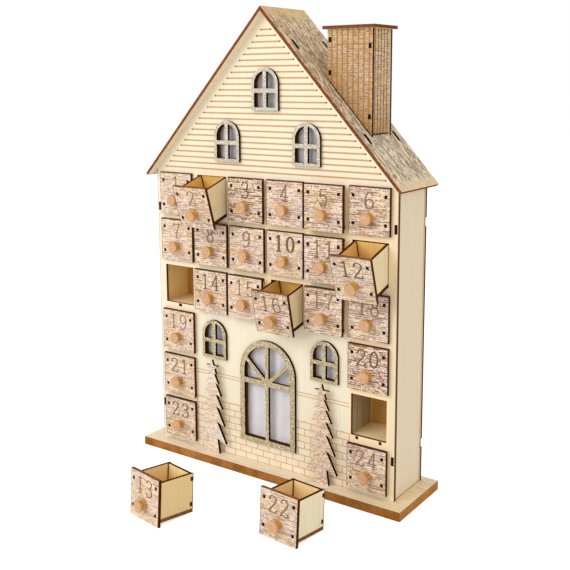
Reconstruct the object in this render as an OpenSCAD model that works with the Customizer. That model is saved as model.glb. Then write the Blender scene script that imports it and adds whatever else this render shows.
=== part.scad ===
// Wooden advent calendar: a laser-cut plywood house with 24 numbered drawers, on a fibreboard base.
// Millimetres. X runs to the right along the facade, Y runs to the back, Z is up.
// The origin is the middle of the facade's front face, at the underside of the base.

/* [Sheet] */
// Thickness of the plywood sheet that everything but the base is cut from
ply = 3; // [2.4:0.1:3.6]
// Play on each side of a tenon in its slot
fit = 0.05; // [0.03:0.01:0.1]
// Glue line between the plates of one drawer
glue = 0.05; // [0.03:0.01:0.1]

/* [Drawer grid] */
// Spacing of the six drawer columns
column_pitch = 46; // [43:0.5:50]
// Spacing of the six drawer rows
row_pitch = 48.95; // [46:0.5:53]
// Bare facade beside the outermost columns
facade_margin = 5; // [4:0.5:9]
// Height of the lowest drawer fronts above the base
front_foot = 4.2; // [3.8:0.1:7]

/* [Drawers] */
// Bare facade between two fronts side by side
front_gap_x = 3.9; // [3:0.1:6]
// Bare facade between two fronts above each other
front_gap_z = 4.85; // [4:0.1:7]
// How far a front covers the facade on each side of its opening
lap_side = 2.05; // [1.2:0.1:2.6]
// How far a front reaches below its opening
lap_bottom = 2.2; // [1:0.1:3]
// How far a front reaches above its opening
lap_top = 1.1; // [0.5:0.1:2]
// Play on each side of a drawer box in its opening
side_play = 0.8; // [0.4:0.1:1.4]
// Room above a drawer box in its opening, which lets a drawer tip when it is drawn out
tip_play = 3.4; // [2.8:0.1:4.5]
// Depth of a drawer box behind its front
box_d = 39; // [30:1:48]
// Gap under a drawer box that stands in its opening
rest_gap = 0.3; // [0.2:0.05:0.5]
// Gap between a closed front and the facade
seat_gap = 0.3; // [0.2:0.05:0.5]
// Gap behind a closed drawer
rear_play = 1.3; // [0.6:0.1:3]

/* [Knobs] */
// Diameter of a knob's face
knob_d = 12; // [9:0.5:14]
// Length of a knob in front of the drawer
knob_l = 8; // [6:0.5:12]
// Height of the knob's axis above the foot of the front
knob_z = 15.5; // [11:0.5:19]

/* [House] */
// Space behind the compartments, up to the rear panel
service_gap = 10; // [6:1:30]
// How far the side walls are set in from the edges of the facade
wall_inset = 1; // [0.5:0.1:2]
// Slope of the roof in degrees
roof_angle = 47.5; // [40:0.5:52]
// How far the roof reaches past the facade on each side
eave_side = 7.5; // [5:0.5:12]
// How far the roof reaches in front of the facade
eave_front = 9.3; // [6:0.5:14]
// How far the roof reaches behind the rear panel
eave_rear = 9; // [5:0.5:14]

/* [Base] */
// Thickness of the fibreboard base
base_t = 9; // [6:1:15]
// How far the base reaches past the facade on each side
base_side = 14.5; // [8:0.5:25]
// How far the base reaches in front of the facade
base_front = 16.5; // [14:0.5:30]
// How far the base reaches behind the rear panel
base_rear = 8; // [4:0.5:20]

/* [Chimney] */
// Width of the chimney
chimney_w = 47; // [35:1:52]
// Depth of the chimney
chimney_d = 36.5; // [28:0.5:42]
// Place of the chimney's left side, from the middle of the house
chimney_x = 62.3; // [50:1:72]
// Distance of the chimney's front behind the facade's front face
chimney_y = 10; // [6:1:14]
// Height of the chimney's left side above the roof
chimney_rise = 45; // [30:1:60]
// How far the cap reaches past the chimney all round
cap_lap = 3.5; // [2:0.5:8]

/* [Windows] */
// Width of the five small windows
small_w = 31; // [26:1:36]
// Height of the five small windows
small_h = 40.5; // [36:0.5:46]
// Width of the large window
main_w = 67.4; // [56:1:76]
// Height of the large window
main_h = 109.6; // [90:1:118]
// Height of the large window's foot above the base
main_foot = 21.4; // [14:1:28]
// Border of the small window frames
small_border = 3.1; // [2.5:0.1:4.5]
// Border of the large window frame
main_border = 5.6; // [4:0.1:7]
// Width of the bars in the window frames
bar_w = 4; // [3:0.1:5]
// Thickness of the fleece behind the windows
fleece_t = 0.8; // [0.5:0.1:1.5]
// Distance of the two lower gable windows from the middle
gable_window_x = 47; // [40:1:56]
// Height of their feet above the attic floor
gable_window_lift = 7.7; // [5:0.1:12]
// Gap between them and the foot of the top window
top_window_lift = 10.3; // [6:0.1:20]
// Distance of the windows beside the large one from the middle
side_window_x = 67.3; // [62:0.1:72]
// Gap between their heads and the drawers above them
side_window_drop = 8.85; // [6:0.05:14]

/* [Trees] */
// Height of the trees above the base, with the star
tree_h = 101; // [85:1:106]
// Width of the widest tier
tree_w = 35; // [28:1:40]
// Gap between the facade and the back of a tree
tree_gap = 4.5; // [3.5:0.5:8]

/* [Drawers as they stand] */
// Tilt of the two drawers that are tipped the most, in degrees
tip_far = 17.2; // [12:0.2:17.4]
// Tilt of the third tipped drawer, in degrees
tip_near = 12.9; // [8:0.2:14]
// How far out drawer 2 is drawn
pull_2 = 23; // [18:0.5:26]
// How far out drawer 12 is drawn
pull_12 = 24.4; // [18:0.5:26]
// How far out drawer 16 is drawn
pull_16 = 20.6; // [16:0.5:24]
// Place of drawer 13 on the table, to the left of the middle
table_13_x = 36.4; // [25:1:60]
// Distance of drawer 13 in front of the facade
table_13_y = 145; // [120:1:180]
// Turn of drawer 13 about the vertical, in degrees
table_13_turn = 10.4; // [0:0.2:20]
// Place of drawer 22 on the table, to the right of the middle
table_22_x = 85.7; // [70:1:110]
// Distance of drawer 22 in front of the facade
table_22_y = 106.8; // [95:1:160]
// Turn of drawer 22 about the vertical, in degrees
table_22_turn = 5; // [0:0.2:20]

/* [Hidden] */

$fn = 48;
// Overrun of every cut past the faces that it goes through
over = 1;

// Drawer fronts, boxes and openings
front_w = column_pitch - front_gap_x;
front_h = row_pitch - front_gap_z;
opening_w = front_w - 2 * lap_side;
opening_h = front_h - lap_bottom - lap_top;
box_w = opening_w - 2 * side_play;
box_h = opening_h - tip_play;
box_z = lap_bottom + rest_gap;

// Grid of columns and rows, counted from the top left
columns = 6;
rows = 6;
full_rows = 3;
function column_x(c) = (c - (columns - 1) / 2) * column_pitch;
function row_foot(r) = base_t + front_foot + (rows - 1 - r) * row_pitch;
function sill_z(r) = row_foot(r) + lap_bottom;
// Columns that a row has: all six in the top rows, and the outer two below
function row_columns(r) = r < full_rows ? [for (c = [0 : columns - 1]) c] : [0, columns - 1];

// Shell planes
facade_w = columns * column_pitch + 2 * facade_margin;
wall_x = facade_w / 2 - wall_inset;
wall_in = wall_x - ply;
compartment_y = box_d - seat_gap + rear_play;
back_y = compartment_y + ply + service_gap;
house_d = back_y + ply;
// The shelf tops lie a little below the sills
shelf_drop = 0.4;
function shelf_top(r) = sill_z(r) - shelf_drop;
attic_top = shelf_top(-1);
attic_foot = attic_top - ply;

// Roof: the underside of each plate meets the facade's edge at the spring height
gable_drop = 4.9;
spring_z = attic_top - gable_drop;
slope = tan(roof_angle);
ridge_in = spring_z + facade_w / 2 * slope;
ridge_out = ridge_in + ply / cos(roof_angle);
eave_x = facade_w / 2 + eave_side;
function roof_in(x) = ridge_in - abs(x) * slope;
function roof_out(x) = ridge_out - abs(x) * slope;

// Tenons that the gables push through the roof, as distances down the slope from the ridge
roof_tenons = [48.3, 163.3];
roof_tenon_w = 10.5;
// Tenons of the side walls, as heights above the base
wall_tenons = [38.8, 256];
wall_tenon_h = 8.6;
// Tenons of the shelves: one in each column above, two in each column below
shelf_tenon_w = 4.4;
side_tenon_w = 3;
side_tenon_x = 12.5;

// Faces of the walls beside the lower drawers
lower_out = column_x(columns - 1) - opening_w / 2;
lower_in = lower_out - ply;
// The dividers stand between the columns; their slots meet the shelves' slots half way back
function divider_x(c) = (column_x(c - 1) + column_x(c)) / 2;
lap_y = (ply + compartment_y) / 2;

// Height of the feet of the small windows, and the places of all five
gable_window_z = attic_top + gable_window_lift;
top_window_z = gable_window_z + small_h + top_window_lift;
side_window_z = row_foot(full_rows - 1) - side_window_drop - small_h;
small_places = [[0, top_window_z], [-gable_window_x, gable_window_z],
    [gable_window_x, gable_window_z], [-side_window_x, side_window_z],
    [side_window_x, side_window_z]];
// Height of the cross bars above the foot of their windows
small_bar_z = 18.9;
main_bar_z = 65.4;
main_bar_w = 5.3;
ray_angle = 42;
// How far the gable fleece reaches past its windows, and the gap round the lower fleece
fleece_margin = 4;
fleece_gap = 2;

// Chimney: its right and rear faces, its top, and the inset of its side panels
chimney_x1 = chimney_x + chimney_w;
chimney_y1 = chimney_y + chimney_d;
chimney_top = roof_out(chimney_x) + chimney_rise;
chimney_inset = 1.1;
chimney_tenon_h = 4.5;
// Heights of the tenons below the chimney's top, on the short side and on the long side
short_tenons = [9.3, 38.9];
long_tenons = [15.6, 78.2];

// Knob: place of its waist, and the diameters of its ends, as shares of its size
knob_waist_share = 0.62;
knob_foot_share = 0.78;
knob_rim_share = 0.24;
knob_edge_share = 0.9;
spigot_d = 4;

// Drawer joints
front_tenon_h = 3;
front_tenon_z = 12.8;
front_tenon_lift = 0.8;
back_inset = 0.6;
back_tenon_h = 4;
back_tenon_end = 3;
// Middle of a drawer's side plate, and its height
side_x = box_w / 2 - ply / 2;
side_h = box_h - ply;
// The drawer sides reach through the front at two heights, and the rear plate through the sides at two,
// counted from the foot of the front and from the top of the bottom plate
function front_tenon_heights() = [for (s = [-1, 1]) front_h / 2 + front_tenon_lift + s * front_tenon_z];
function back_tenon_heights() = [back_tenon_end + back_tenon_h / 2,
    side_h - back_tenon_end - back_tenon_h / 2];

// How far the drawers that are shut stand proud of the facade
pull_flush = 0;
pull_slight = 0.8;
pull_half = 2.2;
pull_most = 4.5;

// Tree outline: tips and notches of the five tiers, as shares of half the width and of the height
tip_shares = [[0.47, 0.75], [0.64, 0.625], [0.72, 0.487], [0.87, 0.31], [1, 0.12]];
notch_shares = [[0.2, 0.84], [0.24, 0.762], [0.25, 0.638], [0.28, 0.51], [0.3, 0.35], [0.33, 0.163]];
trunk_share = 0.47;
star_share = 0.083;
star_z_share = 0.917;
star_waist_share = 0.42;
tree_x = side_window_x;
tree_tab_w = 8;
tree_tab_d = 4;

// Plates

// A plate that lies in the plane of the facade: its outline is drawn in X and Z
module upright(y, t) {
    translate([0, y + t, 0]) rotate([90, 0, 0]) linear_extrude(t) children();
}

// A rectangle from one corner to the other
module span(x0, x1, z0, z1) {
    translate([x0, z0]) square([x1 - x0, z1 - z0]);
}

// A box from one corner to the other
module block(x0, x1, y0, y1, z0, z1) {
    translate([x0, y0, z0]) cube([x1 - x0, y1 - y0, z1 - z0]);
}

// Shell

module base_board() {
    color("peru") difference() {
        block(-facade_w / 2 - base_side, facade_w / 2 + base_side,
            -base_front, house_d + base_rear, 0, base_t);
        for (x = [-tree_x, tree_x])
            block(x - tree_tab_w / 2 - fit, x + tree_tab_w / 2 + fit,
                -tree_gap - ply - fit, -tree_gap + fit, base_t - tree_tab_d - fit, base_t + over);
    }
}

// Outline of the front and rear walls
module gable_outline() {
    polygon([[-facade_w / 2, base_t], [facade_w / 2, base_t], [facade_w / 2, spring_z],
        [0, ridge_in], [-facade_w / 2, spring_z]]);
}

// Tenons of a gable wall, through both roof plates
module gable_tenons(play) {
    for (side = [-1, 1], s = roof_tenons)
        translate([side * s * cos(roof_angle), ridge_out - s * sin(roof_angle)])
            rotate(-side * roof_angle)
                translate([-roof_tenon_w / 2 - play, -ply - play])
                    square([roof_tenon_w + 2 * play, ply + 2 * play]);
}

// Slots for the tenons of the side walls, with some room on their outer side
module wall_slots(room) {
    for (side = [-1, 1], h = wall_tenons) scale([side, 1])
        span(wall_in - fit, wall_x + room, base_t + h - wall_tenon_h / 2 - fit,
            base_t + h + wall_tenon_h / 2 + fit);
}

// Slots for the tenons of the shelves
module shelf_slots() {
    for (r = [0 : full_rows - 1], c = row_columns(r))
        span(column_x(c) - shelf_tenon_w / 2 - fit, column_x(c) + shelf_tenon_w / 2 + fit,
            shelf_top(r) - ply - fit, shelf_top(r) + fit);
    for (r = [full_rows : rows - 1], c = row_columns(r), s = [-1, 1])
        span(column_x(c) + s * side_tenon_x - side_tenon_w / 2 - fit,
            column_x(c) + s * side_tenon_x + side_tenon_w / 2 + fit,
            shelf_top(r) - ply - fit, shelf_top(r) + fit);
}

module facade_panel() {
    color("blanchedalmond") upright(0, ply) {
        difference() {
            gable_outline();
            for (r = [0 : rows - 1], c = row_columns(r))
                span(column_x(c) - opening_w / 2, column_x(c) + opening_w / 2,
                    sill_z(r), sill_z(r) + opening_h);
            shelf_slots();
            wall_slots(fit);
            for (p = small_places) translate(p) arch(small_w, small_h, small_border);
            translate([0, base_t + main_foot]) arch(main_w, main_h, main_border);
        }
        gable_tenons(0);
    }
}

// The rear panel's slots for the side walls are open notches
module back_panel() {
    color("wheat") upright(back_y, ply) {
        difference() {
            gable_outline();
            wall_slots(wall_inset + over);
        }
        gable_tenons(0);
    }
}

module side_wall(side) {
    top = roof_in(wall_x);
    x0 = side > 0 ? wall_in : -wall_x;
    color("burlywood") {
        block(x0, x0 + ply, ply, back_y, base_t, top);
        for (h = wall_tenons)
            block(x0, x0 + ply, 0, house_d,
                base_t + h - wall_tenon_h / 2, base_t + h + wall_tenon_h / 2);
    }
}

module side_wall_left() { side_wall(-1); }
module side_wall_right() { side_wall(1); }

// Rear wall of the compartments: an upper field and two legs behind the lower drawers
module compartment_back() {
    color("tan") upright(compartment_y, ply) difference() {
        span(-wall_in, wall_in, shelf_top(rows - 1), attic_foot);
        span(-lower_in, lower_in, shelf_top(rows - 1) - over, shelf_top(full_rows - 1) - ply);
    }
}

// Inner walls

module attic_floor() {
    half = (ridge_in - attic_top) / slope - fit;
    color("tan") block(-half, half, ply, back_y, attic_foot, attic_top);
}

// A shelf across all columns, slotted from behind for the dividers that pass through it
module upper_shelf(r, slotted) {
    z1 = shelf_top(r);
    color("tan") difference() {
        union() {
            block(-wall_in, wall_in, ply, compartment_y, z1 - ply, z1);
            for (c = row_columns(r))
                block(column_x(c) - shelf_tenon_w / 2, column_x(c) + shelf_tenon_w / 2,
                    0, ply, z1 - ply, z1);
        }
        if (slotted) for (c = [1 : columns - 1])
            block(divider_x(c) - ply / 2 - fit, divider_x(c) + ply / 2 + fit,
                lap_y, compartment_y + over, z1 - ply - over, z1 + over);
    }
}

module shelf_1() { upper_shelf(0, true); }
module shelf_2() { upper_shelf(1, true); }
module shelf_3() { upper_shelf(2, false); }

// A shelf of one outer column, with two tenons through the facade
module lower_shelf(side, r) {
    z1 = shelf_top(r);
    x = side * column_x(columns - 1);
    color("tan") {
        block(side > 0 ? lower_out : -wall_in, side > 0 ? wall_in : -lower_out,
            ply, compartment_y, z1 - ply, z1);
        side_tenons(x, z1);
    }
}

module side_tenons(x, z1) {
    for (s = [-1, 1])
        block(x + s * side_tenon_x - side_tenon_w / 2, x + s * side_tenon_x + side_tenon_w / 2,
            0, ply, z1 - ply, z1);
}

module shelf_4_left() { lower_shelf(-1, 3); }
module shelf_4_right() { lower_shelf(1, 3); }
module shelf_5_left() { lower_shelf(-1, 4); }
module shelf_5_right() { lower_shelf(1, 4); }

module house_floor() {
    z1 = shelf_top(rows - 1);
    color("tan") {
        block(-wall_in, wall_in, ply, back_y, z1 - ply, z1);
        for (c = row_columns(rows - 1)) side_tenons(column_x(c), z1);
    }
}

// Five equal dividers, slotted from the front for the two shelves that pass through them
module upper_dividers() {
    color("tan") for (c = [1 : columns - 1]) difference() {
        block(divider_x(c) - ply / 2, divider_x(c) + ply / 2, ply, compartment_y,
            shelf_top(full_rows - 1), attic_foot);
        for (r = [0 : full_rows - 2])
            block(divider_x(c) - ply / 2 - over, divider_x(c) + ply / 2 + over, ply - over, lap_y,
                shelf_top(r) - ply - fit, shelf_top(r) + fit);
    }
}

module lower_divider(side) {
    x0 = side > 0 ? lower_in : -lower_out;
    color("tan") block(x0, x0 + ply, ply, compartment_y,
        shelf_top(rows - 1), shelf_top(full_rows - 1) - ply);
}

module lower_divider_left() { lower_divider(-1); }
module lower_divider_right() { lower_divider(1); }

// Roof and chimney

// Section of the right roof plate: it runs up past the ridge and covers the end of the left one
module roof_section_right() {
    run = eave_x / cos(roof_angle);
    translate([0, ridge_out]) rotate(-roof_angle) translate([0, -ply]) square([run, ply]);
}

// Section of the left roof plate, which butts against the underside of the right one
module roof_section_left() {
    run = eave_x / cos(roof_angle);
    difference() {
        translate([0, ridge_out]) rotate(roof_angle) translate([-run, -ply])
            square([run + ply, ply]);
        translate([0, ridge_out]) rotate(-roof_angle) translate([-run, -ply - fit])
            square([2 * run, run]);
    }
}

// A roof plate with the slots that the gable tenons pass through
module roof_plate() {
    color("rosybrown") difference() {
        upright(-eave_front, eave_front + house_d + eave_rear) children();
        for (y = [0, back_y]) upright(y - fit, ply + 2 * fit) gable_tenons(fit);
    }
}

module roof_left() { roof_plate() roof_section_left(); }
module roof_right() { roof_plate() roof_section_right(); }

// Outline of the chimney's front and rear, cut to the slope of the roof
module chimney_face() {
    difference() {
        polygon([[chimney_x, roof_out(chimney_x)], [chimney_x1, roof_out(chimney_x1)],
            [chimney_x1, chimney_top], [chimney_x, chimney_top]]);
        for (z = short_tenons) chimney_slot(chimney_x + chimney_inset + ply / 2, z);
        for (z = long_tenons) chimney_slot(chimney_x1 - chimney_inset - ply / 2, z);
    }
}

module chimney_slot(x, drop) {
    translate([x, chimney_top - drop])
        square([ply + 2 * fit, chimney_tenon_h + 2 * fit], center = true);
}

module chimney_front() { color("rosybrown") upright(chimney_y, ply) chimney_face(); }
module chimney_back() { color("rosybrown") upright(chimney_y1 - ply, ply) chimney_face(); }

// A side of the chimney between front and rear, with its foot bevelled to the roof
module chimney_side(x0, tenons) {
    color("rosybrown") {
        upright(chimney_y + ply, chimney_d - 2 * ply)
            polygon([[x0, roof_out(x0)], [x0 + ply, roof_out(x0 + ply)],
                [x0 + ply, chimney_top], [x0, chimney_top]]);
        for (drop = tenons)
            block(x0, x0 + ply, chimney_y, chimney_y1,
                chimney_top - drop - chimney_tenon_h / 2, chimney_top - drop + chimney_tenon_h / 2);
    }
}

module chimney_left() { chimney_side(chimney_x + chimney_inset, short_tenons); }
module chimney_right() { chimney_side(chimney_x1 - chimney_inset - ply, long_tenons); }

module chimney_cap() {
    color("sienna") block(chimney_x - cap_lap, chimney_x1 + cap_lap,
        chimney_y - cap_lap, chimney_y1 + cap_lap, chimney_top, chimney_top + ply);
}

// Windows

// A round-headed outline that stands on its foot, drawn in by a border
module arch(w, h, inset) {
    r = w / 2 - inset;
    translate([-r, inset]) square([2 * r, h - w / 2 - inset]);
    translate([0, h - w / 2]) circle(r);
}

// Frame of a small window, with an upright bar and a cross bar
module small_frame(place) {
    color("darkkhaki") upright(-ply, ply) translate(place) {
        difference() {
            arch(small_w, small_h, 0);
            arch(small_w, small_h, small_border);
        }
        intersection() {
            arch(small_w, small_h, small_border / 2);
            union() {
                span(-bar_w / 2, bar_w / 2, 0, small_h);
                span(-small_w / 2, small_w / 2, small_bar_z - bar_w / 2, small_bar_z + bar_w / 2);
            }
        }
    }
}

module gable_window_top() { small_frame(small_places[0]); }
module gable_window_left() { small_frame(small_places[1]); }
module gable_window_right() { small_frame(small_places[2]); }
module side_window_left() { small_frame(small_places[3]); }
module side_window_right() { small_frame(small_places[4]); }

// Frame of the large window: an upright bar, a cross bar and two rays in the head
module main_window_frame() {
    color("darkkhaki") upright(-ply, ply) translate([0, base_t + main_foot]) {
        difference() {
            arch(main_w, main_h, 0);
            arch(main_w, main_h, main_border);
        }
        intersection() {
            arch(main_w, main_h, main_border / 2);
            union() {
                span(-bar_w / 2, bar_w / 2, 0, main_h);
                span(-main_w / 2, main_w / 2, main_bar_z - main_bar_w / 2, main_bar_z + main_bar_w / 2);
                for (a = [ray_angle, 180 - ray_angle])
                    translate([0, main_bar_z]) rotate(a) span(0, main_w, -bar_w / 2, bar_w / 2);
            }
        }
    }
}

// Fleece behind the three gable windows
module gable_diffuser() {
    wide = gable_window_x + small_w / 2 + fleece_margin;
    narrow = small_w / 2 + fleece_margin;
    low = gable_window_z - fleece_margin;
    shoulder = gable_window_z + small_h;
    high = top_window_z + small_h - fleece_margin;
    color("lavender") upright(ply, fleece_t)
        polygon([[-wide, low], [wide, low], [wide, shoulder - small_w / 2], [wide - narrow, shoulder],
            [narrow, high], [-narrow, high], [narrow - wide, shoulder], [-wide, shoulder - small_w / 2]]);
}

// Fleece behind the large window and the two windows beside it
module lower_diffuser() {
    color("lavender") upright(ply, fleece_t)
        span(fleece_gap - lower_in, lower_in - fleece_gap, shelf_top(rows - 1) + fleece_gap,
            shelf_top(full_rows - 1) - ply - fleece_gap);
}

// Trees

// Corners of a five-pointed star, upwards from its top, in turn outer and inner
function star(r, waist) = [for (i = [0 : 9]) let (q = i % 2 == 0 ? r : r * waist, a = 90 - 36 * i)
    [q * cos(a), q * sin(a)]];

// Right half of the tree, from the top down, with half of the tab that stands in the base
function tree_half() = [for (p = [for (i = [0 : 4]) each [notch_shares[i], tip_shares[i]],
    notch_shares[5], [trunk_share, 0]]) [p[0] * tree_w / 2, p[1] * tree_h],
    [tree_tab_w / 2, 0], [tree_tab_w / 2, -tree_tab_d]];

module tree(x) {
    half = tree_half();
    mirrored = [for (i = [len(half) - 1 : -1 : 0]) [-half[i][0], half[i][1]]];
    color("rosybrown") upright(-tree_gap - ply, ply) translate([x, base_t]) {
        polygon(concat([[0, star_z_share * tree_h]], half, mirrored));
        translate([0, star_z_share * tree_h]) polygon(star(star_share * tree_h, star_waist_share));
    }
}

module tree_left() { tree(-tree_x); }
module tree_right() { tree(tree_x); }

// Drawers

module drawer_front() {
    difference() {
        block(-front_w / 2, front_w / 2, 0, ply, 0, front_h);
        for (s = [-1, 1], z = front_tenon_heights())
            block(s * side_x - ply / 2 - fit, s * side_x + ply / 2 + fit, -over, ply + over,
                z - front_tenon_h / 2 - fit, z + front_tenon_h / 2 + fit);
        translate([0, -over, knob_z]) rotate([-90, 0, 0])
            cylinder(d = spigot_d + 2 * fit, h = ply + 2 * over);
    }
}

module drawer_side(s) {
    z0 = box_z + ply + glue;
    rear = ply + box_d;
    difference() {
        union() {
            block(s * side_x - ply / 2, s * side_x + ply / 2, ply + glue, rear, z0, box_z + box_h);
            for (z = front_tenon_heights())
                block(s * side_x - ply / 2, s * side_x + ply / 2, 0, ply + 2 * glue,
                    z - front_tenon_h / 2, z + front_tenon_h / 2);
        }
        for (z = back_tenon_heights())
            block(s * side_x - ply / 2 - over, s * side_x + ply / 2 + over,
                rear - back_inset - ply - fit, rear - back_inset + fit,
                z0 + z - back_tenon_h / 2 - fit, z0 + z + back_tenon_h / 2 + fit);
    }
}

module drawer_back() {
    y1 = ply + box_d - back_inset;
    z0 = box_z + ply + glue;
    inner = box_w / 2 - ply - glue;
    block(-inner, inner, y1 - ply, y1, z0, box_z + box_h);
    for (z = back_tenon_heights())
        block(-box_w / 2, box_w / 2, y1 - ply, y1,
            z0 + z - back_tenon_h / 2, z0 + z + back_tenon_h / 2);
}

module drawer_bottom() {
    block(-box_w / 2, box_w / 2, ply + glue, ply + box_d, box_z, box_z + ply);
}

// Turned knob: a wide face, a waist, a foot against the front and a spigot through it
module knob() {
    r = knob_d / 2;
    rim = knob_rim_share * knob_l;
    translate([0, 0, knob_z]) rotate([90, 0, 0]) rotate_extrude()
        polygon([[0, -ply], [spigot_d / 2, -ply], [spigot_d / 2, glue], [r * knob_foot_share, glue],
            [r * knob_foot_share, glue + rim / 2], [r * knob_waist_share, (knob_l - rim) / 2],
            [r * knob_edge_share, knob_l - rim], [r, knob_l - rim / 2],
            [r * knob_edge_share, knob_l], [0, knob_l]]);
}

// A whole drawer: the foot of its front's face lies at the origin
module drawer() {
    color("thistle") drawer_front();
    color("goldenrod") {
        drawer_side(-1);
        drawer_side(1);
        drawer_back();
        drawer_bottom();
    }
    color("sandybrown") knob();
}

// A drawer in its opening, drawn out by a little or by nothing
module drawer_in(c, r, pull) {
    translate([column_x(c), -ply - seat_gap - pull, row_foot(r)]) drawer();
}

// A drawer drawn out and tipped forward: the box lies on the sill
module drawer_tipped(c, r, pull, tilt) {
    reach = (pull + box_z * sin(tilt)) / cos(tilt);
    foot = sill_z(r) + rest_gap - reach * sin(tilt) - box_z * cos(tilt);
    translate([column_x(c), -pull, foot]) rotate([tilt, 0, 0]) drawer();
}

// A drawer on the table, leaning back on the foot of its front and the rear edge of its box
module drawer_on_table(x, y, turn) {
    lean = atan(box_z / box_d);
    translate([x, y, 0]) rotate([0, 0, turn]) translate([0, ply, 0]) rotate([-lean, 0, 0])
        translate([0, -ply, 0]) drawer();
}

module drawer_01() { drawer_in(0, 0, pull_flush); }
module drawer_02() { drawer_tipped(1, 0, pull_2, tip_far); }
module drawer_03() { drawer_in(2, 0, pull_half); }
module drawer_04() { drawer_in(3, 0, pull_slight); }
module drawer_05() { drawer_in(4, 0, pull_most); }
module drawer_06() { drawer_in(5, 0, pull_flush); }
module drawer_07() { drawer_in(0, 1, pull_flush); }
module drawer_08() { drawer_in(1, 1, pull_slight); }
module drawer_09() { drawer_in(2, 1, pull_slight); }
module drawer_10() { drawer_in(3, 1, pull_slight); }
module drawer_11() { drawer_in(4, 1, pull_most); }
module drawer_12() { drawer_tipped(5, 1, pull_12, tip_far); }
module drawer_13() { drawer_on_table(-table_13_x, -table_13_y, -table_13_turn); }
module drawer_14() { drawer_in(1, 2, pull_half); }
module drawer_15() { drawer_in(2, 2, pull_most); }
module drawer_16() { drawer_tipped(3, 2, pull_16, tip_near); }
module drawer_17() { drawer_in(4, 2, pull_most); }
module drawer_18() { drawer_in(5, 2, pull_flush); }
module drawer_19() { drawer_in(0, 3, pull_slight); }
module drawer_20() { drawer_in(5, 3, pull_flush); }
module drawer_21() { drawer_in(0, 4, pull_slight); }
module drawer_22() { drawer_on_table(table_22_x, -table_22_y, -table_22_turn); }
module drawer_23() { drawer_in(0, 5, pull_slight); }
module drawer_24() { drawer_in(5, 5, pull_slight); }

base_board();
facade_panel();
side_wall_left();
side_wall_right();
back_panel();
compartment_back();
attic_floor();
shelf_1();
shelf_2();
shelf_3();
shelf_4_left();
shelf_4_right();
shelf_5_left();
shelf_5_right();
house_floor();
upper_dividers();
lower_divider_left();
lower_divider_right();
roof_left();
roof_right();
chimney_front();
chimney_back();
chimney_left();
chimney_right();
chimney_cap();
gable_window_top();
gable_window_left();
gable_window_right();
side_window_left();
side_window_right();
main_window_frame();
gable_diffuser();
lower_diffuser();
tree_left();
tree_right();
drawer_01();
drawer_02();
drawer_03();
drawer_04();
drawer_05();
drawer_06();
drawer_07();
drawer_08();
drawer_09();
drawer_10();
drawer_11();
drawer_12();
drawer_13();
drawer_14();
drawer_15();
drawer_16();
drawer_17();
drawer_18();
drawer_19();
drawer_20();
drawer_21();
drawer_22();
drawer_23();
drawer_24();
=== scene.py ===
import math

import bpy
from mathutils import Euler, Matrix, Vector


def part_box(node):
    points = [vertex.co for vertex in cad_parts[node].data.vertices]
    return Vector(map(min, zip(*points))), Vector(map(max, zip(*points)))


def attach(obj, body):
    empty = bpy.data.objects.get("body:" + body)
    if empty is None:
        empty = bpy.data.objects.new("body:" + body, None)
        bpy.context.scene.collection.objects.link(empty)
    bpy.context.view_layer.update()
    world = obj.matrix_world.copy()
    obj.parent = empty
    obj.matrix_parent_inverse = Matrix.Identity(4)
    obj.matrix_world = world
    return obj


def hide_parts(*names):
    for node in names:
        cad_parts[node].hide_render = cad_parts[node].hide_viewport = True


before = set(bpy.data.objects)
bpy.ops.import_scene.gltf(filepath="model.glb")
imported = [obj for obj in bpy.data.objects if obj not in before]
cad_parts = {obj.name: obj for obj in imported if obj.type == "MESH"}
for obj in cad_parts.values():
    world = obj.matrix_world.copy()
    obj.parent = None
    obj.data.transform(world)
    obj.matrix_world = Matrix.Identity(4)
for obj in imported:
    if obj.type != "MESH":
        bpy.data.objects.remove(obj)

# Lengths in this script are millimetres, but for the lamps'; MM turns them into metres
MM = 0.001

# The startup file's own objects
for name in ("Cube", "Light", "Camera"):
    if name in bpy.data.objects:
        bpy.data.objects.remove(bpy.data.objects[name], do_unlink=True)

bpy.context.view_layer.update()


# Sizes read from the frame

def low(node):
    """A node's lowest corner, in millimetres."""
    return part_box(node)[0] / MM


def high(node):
    """A node's highest corner, in millimetres."""
    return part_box(node)[1] / MM


PLY = high("back_panel").y - low("back_panel").y
BASE_TOP = high("base_board").z
RIDGE = high("facade_panel").z
ROOF_TOP = high("roof_right").z
ROOF_ANGLE = math.radians(47.5)
FRONT_W = high("drawer_01").x - low("drawer_01").x
FRONT_H = high("drawer_01").z - low("drawer_01").z
# A drawer's box: how far its foot stands over its front's, its depth, and how far its
# back plate stands in from its end and its sides from the front's
BOX_FOOT = 2.5
BOX_D = 39
BOX_BACK_INSET = 0.6
BOX_SIDE_INSET = 2.85
BOX_HALF = FRONT_W / 2 - BOX_SIDE_INSET

# Drawers that are tipped, with their tilt in degrees, and drawers on the table,
# with the place of their front's foot and their turn in degrees
TIPPED = {2: 17.2, 12: 17.2, 16: 12.9}
ON_TABLE = {13: (-36.4, -145, -10.4), 22: (85.7, -106.8, -5)}
LOOSE = (*TIPPED, *ON_TABLE)


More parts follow.
